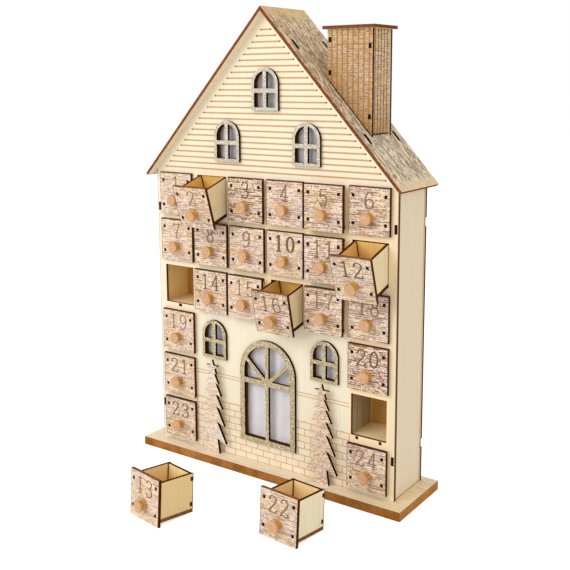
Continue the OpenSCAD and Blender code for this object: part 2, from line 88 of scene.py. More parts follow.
def drawer_space(number):
    """The matrix from a drawer's own space, which starts at its front's foot, to the model's, in mm."""
    if number in ON_TABLE:
        x, y, turn = ON_TABLE[number]
        lean = Euler((-math.atan(BOX_FOOT / BOX_D), 0, math.radians(turn)), "XYZ").to_matrix().to_4x4()
        plate = Matrix.Translation((0, PLY, 0))
        swing = Matrix.Rotation(math.radians(turn), 4, "Z")
        return Matrix.Translation(Vector((x, y, 0)) + swing @ Vector((0, PLY, 0))) @ lean @ plate.inverted()
    node = "drawer_%02d" % number
    lo, hi = low(node), high(node)
    tilt = math.radians(TIPPED.get(number, 0))
    foot_y = hi.y - (PLY + BOX_D) * math.cos(tilt) + BOX_FOOT * math.sin(tilt)
    place = Matrix.Translation(((lo.x + hi.x) / 2, foot_y, lo.z))
    return place @ Matrix.Rotation(tilt, 4, "X")


# Node graphs

# Sockets of a Mix node that mixes colours
MIX_AMOUNT, MIX_A, MIX_B, MIX_RESULT = 0, 6, 7, 2


class Graph:
    """Short calls that add shader nodes to one tree."""

    def __init__(self, tree, made=None):
        self.tree = tree
        self.made = made

    def put(self, socket, value):
        if isinstance(value, bpy.types.NodeSocket):
            self.tree.links.new(value, socket)
        else:
            socket.default_value = value

    def new(self, kind, *values, **settings):
        node = self.tree.nodes.new("ShaderNode" + kind)
        for name, value in settings.items():
            setattr(node, name, value)
        for socket, value in zip(node.inputs, values):
            if value is not None:
                self.put(socket, value)
        return node

    def feed(self, node, **values):
        """Fills a node's inputs by their names, and gives its outputs."""
        for name, value in values.items():
            self.put(node.inputs[name], value)
        return node.outputs

    def maths(self, operation, a, b=0.0, c=0.0):
        return self.new("Math", a, b, c, operation=operation).outputs[0]

    def add(self, a, b):
        return self.maths("ADD", a, b)

    def sub(self, a, b):
        return self.maths("SUBTRACT", a, b)

    def mul(self, a, b):
        return self.maths("MULTIPLY", a, b)

    def step(self, value, first, last, start=0.0, end=1.0):
        """Smoothly from start, where value is first or less, to end, where it is last or more."""
        node = self.new("MapRange", value, first, last, start, end, interpolation_type="SMOOTHSTEP")
        return node.outputs[0]

    def fade(self, value, first, last, strength=1.0):
        """Smoothly from strength to 0."""
        return self.step(value, first, last, strength, 0.0)

    def away(self, value):
        """How far a value is from 0."""
        return self.maths("ABSOLUTE", value)

    def either(self, a, b):
        """The larger of two amounts."""
        return self.maths("MAXIMUM", a, b)

    def distance(self, a, b):
        """How far the point a, b is from 0, 0."""
        return self.maths("SQRT", self.add(self.mul(a, a), self.mul(b, b)))

    def mix(self, amount, a, b, blend="MIX"):
        node = self.new("Mix", data_type="RGBA", blend_type=blend)
        self.put(node.inputs[MIX_AMOUNT], amount)
        self.put(node.inputs[MIX_A], colour(a))
        self.put(node.inputs[MIX_B], colour(b))
        return node.outputs[MIX_RESULT]

    def split(self, vector):
        return self.new("SeparateXYZ", vector).outputs

    def join(self, x=0.0, y=0.0, z=0.0):
        return self.new("CombineXYZ", x, y, z).outputs[0]

    def stretch(self, vector, factors):
        return self.new("VectorMath", vector, factors, operation="MULTIPLY").outputs[0]

    def shift(self, vector, offset):
        return self.new("VectorMath", vector, offset, operation="ADD").outputs[0]

    def noise(self, vector, scale=1.0, detail=2.0, roughness=0.5):
        node = self.new("TexNoise")
        return self.feed(node, Vector=vector, Scale=scale, Detail=detail, Roughness=roughness)[0]

    def streaks(self, vector, pace, detail=2.0, roughness=0.5):
        """Noise that changes at its own pace along each axis."""
        return self.noise(self.stretch(vector, pace), 1.0, detail, roughness)

    def swing(self, noise, size):
        """Noise turned into an offset about 0."""
        return self.mul(self.sub(noise, 0.5), size)

    def cells(self, vector, scale=1.0):
        return self.feed(self.new("TexVoronoi"), Vector=vector, Scale=scale)

    def near(self, value, places, half, soft):
        """1 within half of the nearest multiple of places, and 0 beyond half + soft."""
        off = self.maths("PINGPONG", value, places / 2)
        return self.fade(off, half, half + soft)

    def inside(self, value, start, end, soft=0.05):
        """1 between start and end, which may be sockets."""
        over = self.step(self.sub(value, start), -soft, soft)
        under = self.step(self.sub(end, value), -soft, soft)
        return self.mul(over, under)

    def end(self, shader, kind="OutputMaterial"):
        self.put(self.new(kind).inputs["Surface"], shader.outputs[0])

    def surface(self, tint, rough, height, depth, sheen=0.0, metal=0.0, specular=0.3):
        """Ends a material with one shader; a height of 1 stands depth mm over a height of 0."""
        shader = self.new("BsdfPrincipled")
        bump = self.feed(self.new("Bump"), Strength=1.0, Distance=depth * MM, Height=height)
        looks = {"Base Color": colour(tint), "Specular IOR Level": specular, "Sheen Weight": sheen}
        self.feed(shader, Roughness=rough, Metallic=metal, Normal=bump[0], **looks)
        self.end(shader)
        return self.made


def colour(value):
    """An RGB triple as the four numbers that a socket takes; a socket stays as it is."""
    if isinstance(value, bpy.types.NodeSocket):
        return value
    return tuple(value) + (1.0,)


def material(name):
    """The graph that fills the empty tree of a new material."""
    made = bpy.data.materials.new(name)
    made.use_nodes = True
    made.node_tree.nodes.clear()
    return Graph(made.node_tree, made)


def model_space(g):
    """The place of a point in the model's own space, in mm."""
    place = g.new("TexCoord").outputs["Object"]
    return g.stretch(place, (1 / MM, 1 / MM, 1 / MM))


def own_space(g, space):
    """The place of a point in a space that a matrix in mm leads out of, in mm."""
    place = g.new("TexCoord").outputs["Object"]
    start = space.to_translation() * MM
    turn = space.to_euler("XYZ")
    node = g.new("Mapping", vector_type="TEXTURE")
    return g.feed(node, Vector=place, Location=start, Rotation=turn, Scale=(MM, MM, MM))[0]


# Colours, in linear light

CREAM = (0.92, 0.84, 0.68)
HONEY = (0.93, 0.67, 0.31)
SCORCH = (0.45, 0.20, 0.07)
CHAR = (0.020, 0.004, 0.001)
EMBER = (0.13, 0.026, 0.005)


# Bare plywood

# The pace of a veneer's streaks along the model's axes, per mm: slow along the grain
UPRIGHT = (0.4, 0.4, 0.03)
EVEN = (0.4, 0.4, 0.4)
BAND_PACE = 0.12
KNOT_CELLS = 0.028
KNOT_CORE = 0.008
KNOT_RIM = 0.014
VENEER_DEPTH = 0.04


def plain_wood(g, place, tint, along, contrast):
    """Rotary-cut veneer: faint streaks along the grain, wide soft bands, and rare pin knots."""
    grain = g.streaks(place, along, 4.0, 0.6)
    cloud = g.streaks(place, tuple(pace * BAND_PACE for pace in along))
    # The dark streaks are warmer as well: they lose least red and most blue
    dark = tuple(c * (1 - contrast * 2.2 * (1 + 0.6 * i)) for i, c in enumerate(tint))
    pale = tuple(min(1.0, c * (1 + contrast * 0.5)) for c in tint)
    veneer = g.mix(g.step(grain, 0.34, 0.66), dark, pale)
    veneer = g.mix(g.step(cloud, 0.35, 0.7, 0.0, 0.35), veneer, tint)
    knots = g.cells(place, KNOT_CELLS)
    knot = g.fade(knots["Distance"], KNOT_CORE, KNOT_RIM, 0.55)
    return g.mix(knot, veneer, SCORCH), grain


def wood_material(name, tint, along, contrast):
    """Bare plywood of one tint."""
    g = material(name)
    veneer, grain = plain_wood(g, model_space(g), tint, along, contrast)
    return g.surface(veneer, g.step(grain, 0.3, 0.7, 0.62, 0.5), grain, VENEER_DEPTH)


# Cut edges

def edge_material(name, dark, warm, share):
    """A burnt edge: char and warmer scorch in blotches and flecks; share says how much is char."""
    g = material(name)
    place = model_space(g)
    blotch = g.noise(place, 0.9, 3.0, 0.6)
    fleck = g.noise(place, 4.0, 2.0, 0.7)
    amount = g.add(g.mul(blotch, 0.7), g.mul(fleck, 0.3))
    tint = g.mix(g.step(amount, share - 0.12, share + 0.14), dark, warm)
    return g.surface(tint, 0.9, fleck, 0.05, specular=0.05)


# The stretch of x along which the base's sawn edges grow darker
FIBRE_DARKENS = (-60.0, 150.0)


def fibre_material(name, deep, warm, speck, pale):
    """Sawn edge of fibreboard: brown, darker to the right, with fine pale and dark fibres."""
    g = material(name)
    place = model_space(g)
    fibre = g.noise(place, 1.6, 5.0, 0.75)
    cloud = g.noise(place, 0.05)
    brown = g.mix(g.step(cloud, 0.3, 0.7), deep, warm)
    brown = g.mix(g.step(g.split(place)[0], *FIBRE_DARKENS, 0.0, 0.4), brown, deep)
    tint = g.mix(g.fade(fibre, 0.30, 0.5, 0.8), brown, speck)
    tint = g.mix(g.step(fibre, 0.5, 0.75, 0.0, 0.9), tint, pale)
    return g.surface(tint, 0.9, fibre, 0.12, specular=0.1)


# Worn whitewash print

WASH_WARM = (0.87, 0.66, 0.45)
WASH_PINK = (0.85, 0.69, 0.59)
WASH_PALE = (0.95, 0.85, 0.74)
WORN = (0.22, 0.105, 0.06)
STROKE_ROW = 2.1
RIPPLE = 2.2


def print_group():
    """Node group: a worn whitewash over wood. The vector's X runs along the strokes, Y across them."""
    tree = bpy.data.node_groups.new("whitewash_print", "ShaderNodeTree")
    sockets = (("Vector", "INPUT", "NodeSocketVector"), ("Wear", "INPUT", "NodeSocketFloat"),
               ("Color", "OUTPUT", "NodeSocketColor"), ("Height", "OUTPUT", "NodeSocketFloat"))
    for label, side, kind in sockets:
        tree.interface.new_socket(label, in_out=side, socket_type=kind)
    g = Graph(tree)
    source = tree.nodes.new("NodeGroupInput")
    target = tree.nodes.new("NodeGroupOutput")
    place, wear = source.outputs[0], source.outputs[1]
    x, y, seed = g.split(place)
    # Warm wood shows through the wash in drifts that follow the strokes
    drift = g.streaks(place, (0.03, 0.07, 0.05), 3.0, 0.6)
    wash = g.mix(g.step(drift, 0.4, 0.6), WASH_WARM, WASH_PINK)
    # Long thin streaks of weathered wood, fine strokes, and threads that cross them
    ripple = g.mul(g.streaks(place, (0.05, 0.12, 0.3)), RIPPLE)
    bent = g.join(x, g.add(y, ripple), seed)
    streak = g.streaks(bent, (0.055, 0.85, 0.3), 4.0, 0.68)
    stroke = g.streaks(bent, (0.35, 2.3, 0.4), 2.0, 0.65)
    weave = g.streaks(place, (1.05, 0.3, 0.4), 3.0, 0.65)
    tone = g.add(g.swing(streak, 1.25), g.swing(stroke, 1.1))
    tone = g.add(tone, g.swing(weave, 0.95))
    weathered = g.fade(tone, -0.4, 0.1, 0.95)
    # Rows of long dashes, each row with its own breaks
    rows = g.maths("DIVIDE", g.add(y, ripple), STROKE_ROW)
    row = g.maths("FLOOR", rows)
    middle = g.step(g.maths("PINGPONG", rows, 0.5), 0.1, 0.34)
    along = g.noise(g.join(g.mul(x, 0.13), g.mul(row, 7.31), seed), 1.0, 4.0, 0.68)
    dash = g.mul(g.mul(g.step(along, 0.46, 0.56), middle), 0.76)
    worn = g.mul(g.either(dash, weathered), wear)
    tint = g.mix(g.step(tone, 0.04, 0.3, 0.0, 0.85), wash, WASH_PALE)
    g.put(target.inputs[0], g.mix(worn, tint, WORN))
    g.put(target.inputs[1], g.sub(1.0, worn))
    return tree


PRINT = print_group()


def printed(g, place, wear=1.0):
    """The print's colour and height at a place."""
    return g.new("Group", place, wear, node_tree=PRINT).outputs


# How far each front's print is worn, from most to least; the others lie between
WEAR = {1.35: (3, 20), 1.05: (5, 6, 8, 11, 16, 17, 18, 24), 0.72: (1, 7, 10, 13, 15, 19, 21)}
USUAL_WEAR = 0.88
FRONT_SEAM = (0.18, 0.085, 0.045)
FRONT_RIM_DARK = (0.045, 0.012, 0.003)
# Widths of the burnt rims at a front's sides, and of the dark rim at the top of a shut and of a loose one
SIDE_RIM = 0.3
SHUT_TOP_RIM = 0.95
LOOSE_TOP_RIM = 0.35
RIM_SOFT = 0.3


def front_material(number, space):
    """A drawer's printed front, with board seams across it, the laser's burnt rims at its sides, and a dark
    rim along its top, wider on a shut front.
    """
    g = material("front_%02d" % number)
    x, _, z = g.split(own_space(g, space))
    flat = g.shift(g.join(x, z), (number * 57.3, number * 31.7, number * 13.1))
    wear = [share for share, fronts in WEAR.items() if number in fronts] or [USUAL_WEAR]
    tint, height = printed(g, flat, wear[0])
    # The seams are broken along their length, and each front has its own pitch of boards
    board = 9.0 + (number * 5) % 4
    ripple = g.mul(g.streaks(flat, (0.05, 0.2, 1)), 3.0)
    seam = g.near(g.add(g.add(z, ripple), number * 2.3), board, 0.2, 0.35)
    broken = g.step(g.streaks(flat, (0.09, 0.3, 1)), 0.45, 0.6)
    seam = g.mul(g.mul(seam, broken), 0.75)
    tint = g.mix(seam, tint, FRONT_SEAM)
    uneven = g.swing(g.streaks(flat, (0.12, 0.12, 1)), 0.5)
    top = FRONT_H - (LOOSE_TOP_RIM if number in LOOSE else SHUT_TOP_RIM)
    side = FRONT_W / 2 - SIDE_RIM
    upper = g.step(g.add(z, uneven), top - RIM_SOFT, top)
    beside = g.step(g.add(g.away(x), uneven), side - RIM_SOFT, side)
    tint = g.mix(g.mul(g.either(upper, beside), 0.92), tint, FRONT_RIM_DARK)
    return g.surface(tint, 0.7, g.sub(height, seam), 0.05, specular=0.15)


# Wood of the drawers' boxes outside and inside, with the drawers that differ; the tipped drawers' darker
# insides are painted shade
SIDE_TINT = (0.91, 0.78, 0.51)
SIDE_TINTS = {13: (0.90, 0.70, 0.37), 22: (0.97, 0.89, 0.67)}
INNER_TINT = (0.97, 0.76, 0.40)
TIPPED_INNER_SHADE_TINTS = {2: (0.90, 0.62, 0.19), 12: (0.93, 0.66, 0.25), 16: (0.90, 0.61, 0.19)}
# Painted shade at the foot of a box's inside
INNER_FOOT_SHADE = (0.84, 0.46, 0.09)
# Widths of the burnt strip at a box's rear end
TIPPED_STRIP = 2.5
USUAL_STRIP = 0.7


def box_side_material(number, space):
    """Outside of a drawer's box, burnt along its rear end and its foot."""
    g = material("box_side_%02d" % number)
    tint, grain = plain_wood(g, model_space(g), SIDE_TINTS.get(number, SIDE_TINT), UPRIGHT, 0.02)
    _, y, z = g.split(own_space(g, space))
    end = PLY + BOX_D - (TIPPED_STRIP if number in TIPPED else USUAL_STRIP)
    floor_top = BOX_FOOT + PLY
    rear = g.step(y, end - 0.3, end)
    foot = g.fade(z, floor_top + 0.4, floor_top + 0.8, 0.8)
    return g.surface(g.mix(g.either(rear, foot), tint, CHAR), 0.6, grain, VENEER_DEPTH)


def box_inner_material(number, space):
    """Inside of a drawer's box, with painted shade that deepens towards its floor, and a dark line in its
    rear corners.
    """
    g = material("box_inner_%02d" % number)
    tint, grain = plain_wood(g, model_space(g), TIPPED_INNER_SHADE_TINTS.get(number, INNER_TINT), UPRIGHT, 0.03)
    x, y, z = g.split(own_space(g, space))
    # Painted shade, deepest at the box's floor
    tint = g.mix(g.fade(z, BOX_FOOT, FRONT_H, 0.3), tint, INNER_FOOT_SHADE)
    off = g.distance(g.sub(g.away(x), BOX_HALF - PLY), g.sub(y, BOX_D - BOX_BACK_INSET))
    return g.surface(g.mix(g.fade(off, 0.7, 1.1, 0.9), tint, CHAR), 0.6, grain, VENEER_DEPTH)


TREE_IN = low("tree_right").x
# The left and the right tree's wear, and the tints over their print
TREE_WEAR = (0.88, 0.95)
TREE_WHITE = (0.97, 0.88, 0.78)
TREE_BROWN = (0.80, 0.58, 0.38)


def tree_print_material():
    """The trees' printed front: the left tree's is the less worn and the whiter one."""
    g = material("tree_print")
    x, _, z = g.split(model_space(g))
    right = g.step(x, -TREE_IN, TREE_IN)
    flat = g.shift(g.join(x, z), (11.0, 431.0, 5.0))
    tint, height = printed(g, flat, g.step(right, 0.0, 1.0, *TREE_WEAR))
    tint = g.mix(g.mul(g.sub(1.0, right), 0.22), tint, TREE_WHITE)
    tint = g.mix(g.mul(right, 0.15), tint, TREE_BROWN)
    return g.surface(tint, 0.7, height, 0.04, specular=0.15)


# Places down the slope, from the ridge: the gable tenons' middles and the eave
TENONS_DOWN = (48.3, 163.3)
TENON_HALF = 5.25
EAVE_DOWN = high("roof_right").x / math.cos(ROOF_ANGLE)
GABLE_FRONT = (low("facade_panel").y + high("facade_panel").y) / 2
GABLE_BACK = (low("back_panel").y + high("back_panel").y) / 2
ROOF_RIDGE = (0.78, 0.54, 0.25)
ROOF_MIDDLE = (1.0, 0.80, 0.54)
ROOF_PALE = (1.0, 0.90, 0.70)
ROOF_EAVE = (0.95, 0.74, 0.46)
ROOF_GROOVE = (0.07, 0.031, 0.013)
ROOF_SCORCH = (0.035, 0.012, 0.007)
# Two families of grooves: their pitch, phase and width, and the pace of their breaks
GROOVES = ((4.1, 0.0, 0.85, 0.035), (2.3, 1.1, 0.6, 0.13))


def roof_above(g, x, z):
    """How far a point stands out from the plane of the roof's outer face, in mm."""
    fall = g.mul(g.away(x), math.tan(ROOF_ANGLE))
    return g.mul(g.add(g.sub(z, ROOF_TOP), fall), math.cos(ROOF_ANGLE))


def roof_grooves(g, run, y, flat):
    """Dark dashed grooves that run down the slope, each row with its own breaks."""
    wander = g.mul(g.streaks(flat, (0.015, 0.15, 1), 1.0), 0.9)
    cut = 0.0
    for pitch, phase, width, pace in GROOVES:
        rows = g.add(g.add(y, phase), wander)
        row = g.maths("ROUND", g.maths("DIVIDE", rows, pitch))
        groove = g.near(rows, pitch, width / 2, 0.5)
        breaks = g.noise(g.join(g.mul(run, pace), g.mul(row, 5.7), phase), 1.0, 3.0, 0.6)
        dashes = g.mul(groove, g.step(breaks, 0.465, 0.535))
        cut = g.either(cut, g.mul(dashes, 0.85))
    return cut


def roof_print_material():
    """Roof boards that run down the slope: plain and yellow at the ridge, paler and grooved below."""
    g = material("roof_print")
    x, y, z = g.split(model_space(g))
    down = g.maths("DIVIDE", g.away(x), math.cos(ROOF_ANGLE))
    run = g.mul(g.add(down, g.mul(g.sub(ROOF_TOP, z), 1.0 / math.sin(ROOF_ANGLE))), 0.5)
    flat = g.shift(g.join(run, y), (13.0, 22.0, 3.0))
    tint, height = printed(g, flat)
    cloud = g.swing(g.streaks(flat, (0.05, 0.12, 1), 3.0), 60.0)
    place = g.add(down, cloud)
    below = g.step(place, 3.0, 24.0)
    pale = g.step(place, 70.0, 165.0)
    eave = g.step(g.add(down, g.mul(cloud, 0.3)), EAVE_DOWN - 18.0, EAVE_DOWN - 4.0)
    slope_tint = g.mix(pale, g.mix(0.6, tint, ROOF_MIDDLE), g.mix(0.65, tint, ROOF_PALE))
    ridge_tint = g.mix(0.7, slope_tint, ROOF_RIDGE)
    tint = g.mix(g.mul(eave, 0.5), g.mix(below, ridge_tint, slope_tint), ROOF_EAVE)
    # The grooves are fainter at the ridge and the eave
    share = g.mul(g.step(below, 0.0, 1.0, 0.3, 1.0), g.step(eave, 0.0, 1.0, 1.0, 0.3))
    cut = g.mul(roof_grooves(g, run, y, flat), share)
    tint = g.mix(cut, tint, ROOF_GROOVE)
    # Scorched rims round the heads of the gables' tenons
    first, second = TENONS_DOWN
    along = g.near(g.sub(down, first), second - first, TENON_HALF + 0.4, 0.4)
    across = g.near(g.sub(y, GABLE_FRONT), GABLE_BACK - GABLE_FRONT, PLY / 2 + 0.3, 0.4)
    tint = g.mix(g.mul(along, across), tint, ROOF_SCORCH)
    return g.surface(tint, 0.75, g.sub(g.mul(height, 0.4), cut), 0.12, specular=0.15)


CHIMNEY_BOARD = 5.6
CHIMNEY_SHADE_BROWN = (0.34, 0.165, 0.045)


def chimney_print_material(name, axis, seed, tone, line):
    """Upright boards on the chimney, with a scorched line between each two."""
    g = material(name)
    place = g.split(model_space(g))
    side, z = place[axis], place[2]
    flat = g.shift(g.join(side, z), (seed, seed * 1.7, 3.0))
    tint, height = printed(g, flat, 0.85)
    tint = g.mix(1.0, tint, tone, "MULTIPLY")
    wobble = g.mul(g.streaks(flat, (0.4, 0.05, 1)), 0.6)
    joint = g.near(g.add(side, wobble), CHIMNEY_BOARD, 0.45, 0.6)
    joint = g.mul(joint, g.step(g.streaks(flat, (0.4, 0.12, 1), 2.0, 0.6), 0.25, 0.5, 0.6, 0.95))
    # Painted shade, browner towards the roof, and a dark rim along the foot that is partly the burnt edge
    # and partly painted contact shadow
    above = roof_above(g, place[0], z)
    tint = g.mix(g.fade(above, 0.0, 30.0, 0.5), g.mix(joint, tint, line), CHIMNEY_SHADE_BROWN)
    tint = g.mix(g.fade(above, 0.8, 1.5, 0.85), tint, CHAR)
    return g.surface(tint, 0.75, g.sub(g.mul(height, 0.4), joint), 0.1, specular=0.15)


BASE_BOARD = 13.0
BASE_PALE = (1.0, 0.89, 0.69)
BASE_REFLECTED_GOLD = (0.85, 0.68, 0.38)
BASE_LINE = (0.30, 0.16, 0.07)
# The stretches of x and y along which the base turns yellow with painted light that the side wall reflects
REFLECTED_GOLD_X = (60.0, 150.0)
REFLECTED_GOLD_Y = (15.0, 60.0)


def base_print_material():
    """Top of the base: pale printed boards that run along the house."""
    g = material("base_print")
    x, y, _ = g.split(model_space(g))
    flat = g.shift(g.join(x, y), (77.0, 19.0, 8.0))
    tint, height = printed(g, flat, 0.3)
    tint = g.mix(0.7, tint, BASE_PALE)
    # Painted light: yellower towards the right end, most of all in front of the house, where the side wall
    # reflects warm light onto it
    reflected_gold = g.mul(g.step(x, *REFLECTED_GOLD_X, 0.0, 0.6), g.step(y, *REFLECTED_GOLD_Y, 1.0, 0.3))
    tint = g.mix(reflected_gold, tint, BASE_REFLECTED_GOLD)
    seam = g.mul(g.near(y, BASE_BOARD, 0.15, 0.3), g.step(g.streaks(flat, (0.03, 0.1, 1)), 0.35, 0.55))
    grain = g.streaks(flat, (0.02, 0.5, 1), 3.0, 0.6)
    lines = g.mul(g.fade(g.maths("PINGPONG", g.mul(grain, 9.0), 0.5), 0.03, 0.2), 0.35)
    drawn = g.either(g.mul(seam, 0.5), lines)
    return g.surface(g.mix(drawn, tint, BASE_LINE), 0.6, height, VENEER_DEPTH)


# Facade with its engraving

SIDING_PITCH = 5.63
SIDING_TOP = RIDGE - 16.9
SIDING_FOOT = 306.0
SIDING_MARGIN = 9.7
BRICK_H = 6.9
BRICK_W = 14.5
BRICK_TOP = 65.8
BRICK_HALF = 95.5
STRING_LINES = (94.1, 90.9)
STRING_START = 33.0
STRING_END = 94.0
# How far from their middles the lines are full, and how far off they have faded out
MORTAR = (0.22, 0.5)
STRING = (0.2, 0.5)
GRID_TOP = high("drawer_01").z
GRID_MIDDLE = low("drawer_14").z
GRID_FOOT = low("drawer_24").z
GRID_SIDE = high("drawer_24").x
GRID_INNER = low("drawer_24").x
GRID_EDGE_SOFT = 1.5
FACADE_HALF = high("facade_panel").x
# A start that lies before every distance from the middle
FROM_MIDDLE = -9.0
# Painted light and shade on the facade: warm bounce light in the gaps round the drawers, and shade on the
# strip to their right
GAP_BOUNCE_TINT = (1.0, 0.78, 0.50)
STRIP_SHADE_TINT = (0.86, 0.73, 0.50)
BRICK_TINT = (0.88, 0.66, 0.40)
GLOW_TINT = (0.93, 0.68, 0.40)
SIDING_TINT = (0.47, 0.205, 0.055)
MORTAR_TINT = (0.60, 0.27, 0.08)
DOT_TINT = (0.07, 0.025, 0.01)
RIM_TINT = (0.15, 0.045, 0.010)


def siding(g, place, aside, z):
    """Lines across the gable, the glow round them, and the dots in which they end inside the roof."""
    nearest = g.maths("ROUND", g.maths("DIVIDE", g.sub(SIDING_TOP, z), SIDING_PITCH))
    line_z = g.sub(SIDING_TOP, g.mul(nearest, SIDING_PITCH))
    gable_end = g.sub(g.maths("DIVIDE", g.sub(RIDGE, line_z), math.tan(ROOF_ANGLE)), SIDING_MARGIN)
    off_line = g.away(g.sub(z, line_z))
    on_gable = g.inside(line_z, SIDING_FOOT, SIDING_TOP + 1, 0.1)
    zone = g.mul(on_gable, g.step(g.sub(gable_end, aside), -0.3, 0.1))
    wander = g.mul(g.streaks(place, (0.12, 1, 1)), 0.3)
    lines = g.mul(g.fade(off_line, g.add(0.32, wander), g.add(0.7, wander)), zone)
    glow = g.mul(g.fade(off_line, 0.5, 2.4), zone)
    dot_off = g.distance(g.sub(aside, gable_end), off_line)
    dots = g.mul(g.fade(dot_off, 0.6, 1.0), on_gable)
    return lines, glow, dots


def bricks(g, x, aside, z):
    """Running bond on both sides of the large window: the mortar, and each brick's own tone."""
    course = g.maths("FLOOR", g.maths("DIVIDE", g.sub(z, BASE_TOP), BRICK_H))
    bed_off = g.maths("PINGPONG", g.sub(z, BASE_TOP), BRICK_H / 2)
    bond = g.mul(g.maths("MODULO", course, 2.0), BRICK_W / 2)
    joint_off = g.maths("PINGPONG", g.add(g.add(x, 500 * BRICK_W), bond), BRICK_W / 2)
    mortar = g.either(g.fade(bed_off, *MORTAR), g.fade(joint_off, *MORTAR))
    field = g.mul(g.inside(z, BASE_TOP, BRICK_TOP), g.inside(aside, FROM_MIDDLE, BRICK_HALF))
    brick = g.maths("FLOOR", g.maths("DIVIDE", g.add(x, bond), BRICK_W))
    tone = g.split(g.cells(g.join(brick, course))["Color"])[0]
    return g.mul(mortar, field), g.mul(tone, field)


def string_course(g, aside, z):
    """Two plain lines on both sides of the large window."""
    lines = 0.0
    for level in STRING_LINES:
        lines = g.add(lines, g.fade(g.away(g.sub(z, level)), *STRING))
    return g.mul(lines, g.inside(aside, STRING_START, STRING_END))


def smoke(g, x, aside, z):
    """Painted warm light in the shaded gaps round the drawers' openings, as it bounces off their burnt
    edges, most of all to the right.
    """
    upper = g.mul(g.inside(z, GRID_MIDDLE, GRID_TOP, GRID_EDGE_SOFT),
                  g.inside(aside, FROM_MIDDLE, GRID_SIDE, GRID_EDGE_SOFT))
    lower = g.mul(g.inside(z, GRID_FOOT, GRID_MIDDLE, GRID_EDGE_SOFT),
                  g.inside(aside, GRID_INNER, GRID_SIDE, GRID_EDGE_SOFT))
    return g.mul(g.either(upper, lower), g.step(x, -GRID_SIDE, GRID_SIDE, 0.35, 0.95))


def facade_material():
    """The facade's front: pale wood with its engraving and laser marks, and painted light and shade round
    the drawers.
    """
    g = material("facade_front")
    place = model_space(g)
    x, _, z = g.split(place)
    aside = g.away(x)
    tint, grain = plain_wood(g, place, CREAM, (0.5, 0.5, 0.016), 0.018)
    lines, glow, dots = siding(g, place, aside, z)
    mortar, tone = bricks(g, x, aside, z)
    string = string_course(g, aside, z)
    # The strip of facade between the drawers and the house's right edge, painted darker and yellower as
    # shade
    on_strip = g.step(x, GRID_SIDE - 1.0, GRID_SIDE + 1.0)
    strip = g.mul(g.inside(z, GRID_FOOT, GRID_TOP, GRID_EDGE_SOFT), on_strip)
    rim = g.step(aside, FACADE_HALF - 0.7, FACADE_HALF - 0.4, 0.0, 0.8)
    # The first two layers are painted light and shade; the others are the brick print and the laser's marks
    marks_and_painted_light = ((smoke(g, x, aside, z), GAP_BOUNCE_TINT), (g.mul(strip, 0.9), STRIP_SHADE_TINT),
             (g.mul(tone, 0.3), BRICK_TINT), (g.mul(glow, 0.55), GLOW_TINT),
             (g.mul(lines, 0.78), SIDING_TINT), (g.mul(g.either(mortar, string), 0.85), MORTAR_TINT),
             (dots, DOT_TINT), (rim, RIM_TINT))
    for amount, layer_tint in marks_and_painted_light:
        tint = g.mix(amount, tint, layer_tint)
    cut = g.either(g.either(lines, mortar), string)
    return g.surface(tint, 0.55, g.sub(g.mul(grain, 0.1), cut), 0.18)


WALL_TINT = (0.89, 0.775, 0.605)
WALL_DARK_LINE = (0.10, 0.035, 0.006)


def side_wall_material():
    """Outside of a side wall, with a painted shadow line along its foot, where it meets the base, and a
    dark line along its rear.
    """
    g = material("side_wall")
    place = model_space(g)
    tint, grain = plain_wood(g, place, WALL_TINT, (0.5, 0.5, 0.012), 0.015)
    _, y, z = g.split(place)
    rear_end = low("back_panel").y
    # Painted contact shadow along the foot, where the wall meets the base
    foot = g.fade(z, BASE_TOP + 0.5, BASE_TOP + 0.9, 0.85)
    rear = g.step(y, rear_end - 0.8, rear_end - 0.4, 0.0, 0.6)
    return g.surface(g.mix(g.either(foot, rear), tint, WALL_DARK_LINE), 0.55, grain, VENEER_DEPTH)


SHADE_TINT = (0.42, 0.36, 0.26)
CORNER_TINT = (0.85, 0.68, 0.36)


def divider_material():
    """The dividers' right faces: wood painted dark grey as shade, with a pale strip in the rear corner."""
    g = material("shaded_divider_ply")
    place = model_space(g)
    tint, grain = plain_wood(g, place, SHADE_TINT, (0.3, 0.3, 0.01), 0.1)
    rear = low("compartment_back").y
    strip = g.step(g.split(place)[1], rear - 1.9, rear - 1.5)
    return g.surface(g.mix(strip, tint, CORNER_TINT), 0.55, grain, VENEER_DEPTH)


# Glitter, beech and fleece

PAINTED_GLINT = (1.0, 0.95, 0.84)
TUFT = (0.86, 0.84, 0.87)


def glitter_material(name, shade_tint, light_tint, haze):
    """Glitter card: tiny flakes, each with its own gloss, and a brightness that is partly its own tone and
    partly painted glint and shade; the palest are painted white as glints.
    """
    g = material(name)
    place = model_space(g)
    shade = g.split(g.cells(place, 1.7)["Color"])
    tint = g.mix(g.step(shade[0], 0.1, 0.9), shade_tint, light_tint)
    # Painted glints: a few flakes nearly white
    tint = g.mix(g.step(shade[1], 0.85, 0.95), tint, PAINTED_GLINT)
    cloud = g.noise(place, 0.12)
    tint = g.mix(g.step(cloud, 0.3, 0.7, 0.0, 0.3), tint, haze)
    rough = g.step(shade[2], 0.2, 0.9, 0.3, 0.6)
    return g.surface(tint, rough, shade[0], 0.15, metal=0.15)


def beech_material(name, dark, pale, fresh):
    """Turned beech, with fine rays and wide rings."""
    g = material(name)
    place = model_space(g)
    rays = g.streaks(place, (1.4, 0.12, 0.5), 3.0, 0.6)
    rings = g.streaks(place, (0.22, 0.05, 0.35))
    tint = g.mix(g.step(rays, 0.35, 0.65), dark, pale)
    tint = g.mix(g.step(rings, 0.4, 0.65, 0.0, 0.4), tint, fresh)
    return g.surface(tint, 0.45, rays, 0.03)


